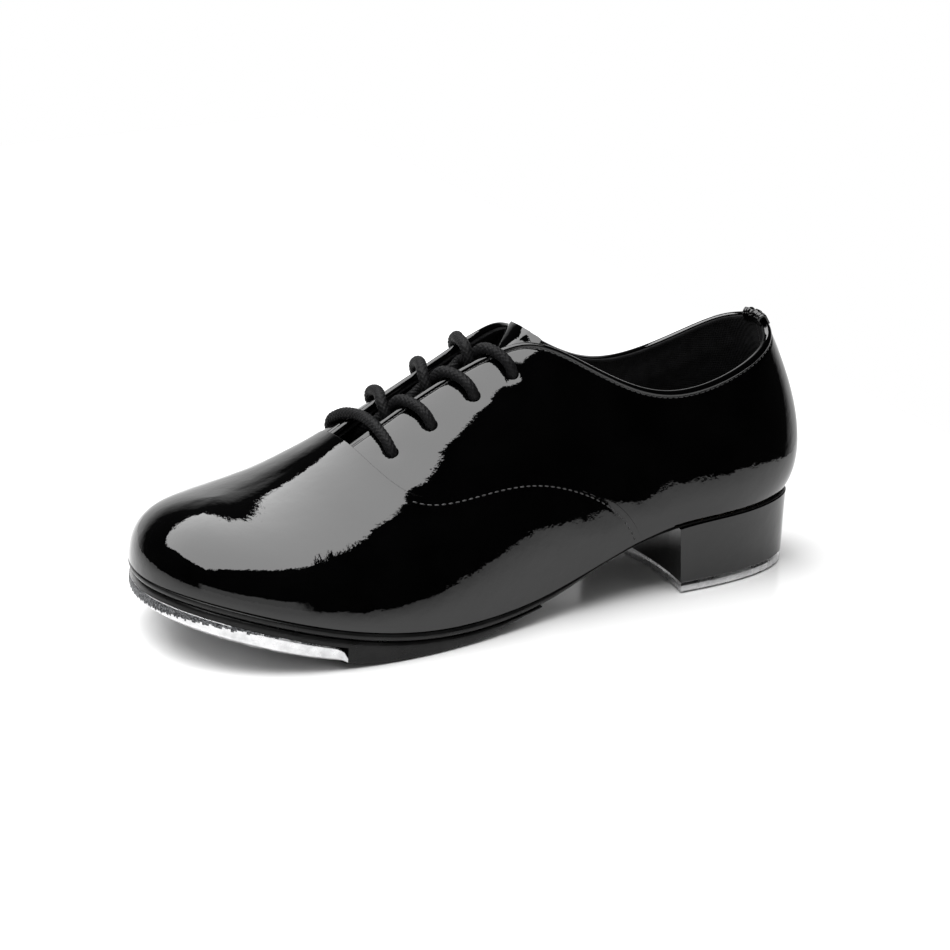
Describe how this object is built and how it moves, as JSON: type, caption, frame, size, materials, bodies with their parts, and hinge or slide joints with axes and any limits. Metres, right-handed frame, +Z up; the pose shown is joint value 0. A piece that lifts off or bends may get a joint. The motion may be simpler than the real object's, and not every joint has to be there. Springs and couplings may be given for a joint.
{
  "type": "tap shoe",
  "caption": "Left oxford tap shoe in black patent leather: lapped vamp, laced quarters with a pressable tongue, layered sole, covered heel, and metal taps screwed under toe and heel.",
  "frame": {"origin": "centre of the shoe's bounding box, on the floor that the heel tap and the ball of the sole stand on", "axes": "+X towards the toe, +Y towards the outer side of the foot, +Z up"},
  "size_m": [0.2698, 0.1022, 0.0973],
  "materials": {
    "patent": "black patent leather with a clear gloss coat",
    "lining": "black woven textile",
    "stiffener": "thermoplastic stiffener sheet",
    "board": "cellulose fibre board",
    "filler": "cork sheet",
    "sole": "black, edge painted and satin",
    "heel": "black moulded heel",
    "tap": "cast aluminium, face polished by wear",
    "steel": "zinc-plated steel",
    "eyelet": "black enamel",
    "lace": "black braided polyester"
  },
  "bodies": {
    "shoe": {"aglet_a": "eyelet", "aglet_b": "eyelet", "back_strip": "patent", "eyelet_inner_1": "eyelet", "eyelet_inner_2": "eyelet", "eyelet_inner_3": "eyelet", "eyelet_inner_4": "eyelet", "eyelet_outer_1": "eyelet", "eyelet_outer_2": "eyelet", "eyelet_outer_3": "eyelet", "eyelet_outer_4": "eyelet", "facing_inner": "lining", "facing_outer": "lining", "filler_pad": "filler", "half_sole": "sole", "heel_block": "heel", "heel_bolt": "steel", "heel_counter": "stiffener", "heel_cover": "patent", "heel_tap": "tap", "heel_tap_screw_1": "steel", "heel_tap_screw_2": "steel", "heel_tap_screw_3": "steel", "insole_board": "board", "lace": "lace", "midsole": "sole", "quarter_inner": "patent", "quarter_lining_inner": "lining", "quarter_lining_outer": "lining", "quarter_outer": "patent", "shank": "steel", "sock_lining": "lining", "toe_puff": "stiffener", "toe_tap": "tap", "toe_tap_screw_1": "steel", "toe_tap_screw_2": "steel", "toe_tap_screw_3": "steel", "vamp": "patent", "vamp_lining": "lining"},
    "tongue": {"tongue": "patent", "tongue_lining": "lining"}
  },
  "joints": [
    {"name": "tongue_hinge", "type": "hinge", "parent": "shoe", "child": "tongue", "pos_m": [0.06735, -0.00093, 0.044], "axis": [0, -1, 0], "range_deg": [0, 20], "stiffness_Nm_per_rad": 0.4, "springref_deg": -1.72}
  ]
}
